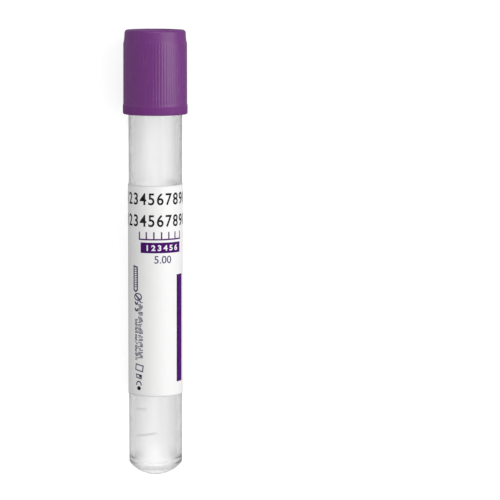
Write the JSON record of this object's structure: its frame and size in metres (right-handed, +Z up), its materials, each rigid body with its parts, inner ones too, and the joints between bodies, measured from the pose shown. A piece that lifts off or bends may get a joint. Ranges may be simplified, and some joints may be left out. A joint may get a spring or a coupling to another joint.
{
  "type": "blood collection tube",
  "caption": "Clear plastic sample tube with a shallow domed bottom and a wrapped paper label, closed by a rubber stopper in a ribbed purple cap that turns and pulls off.",
  "frame": {"origin": "on the surface that the tube lies on, under the middle of its length and width", "axes": "+X from the domed bottom to the cap, +Y across the tube, +Z up; the front of the label faces +Z, and the tube's own axis rises 0.9 degrees towards the cap, because the cap is wider than the tube"},
  "size_m": [0.1094, 0.0156, 0.0158],
  "materials": {
    "clear_plastic": "clear moulded polyester, polished",
    "label_paper": "white coated label paper, slightly glossy",
    "stopper_rubber": "matt grey butyl rubber",
    "cap_plastic": "purple moulded polyethylene, satin"
  },
  "bodies": {
    "tube": {"tube": "clear_plastic", "label": "label_paper"},
    "stopper": {"stopper": "stopper_rubber"},
    "cap": {"cap": "cap_plastic"}
  },
  "joints": [
    {"name": "closure_pull", "type": "slide", "parent": "tube", "child": "stopper", "axis": [0.9999, 0, 0.0158], "range_m": [0, 0.025]},
    {"name": "cap_twist", "type": "hinge", "parent": "stopper", "child": "cap", "pos_m": [0.04529, 0, 0.00799], "axis": [0.9999, 0, 0.0158], "continuous": true}
  ]
}
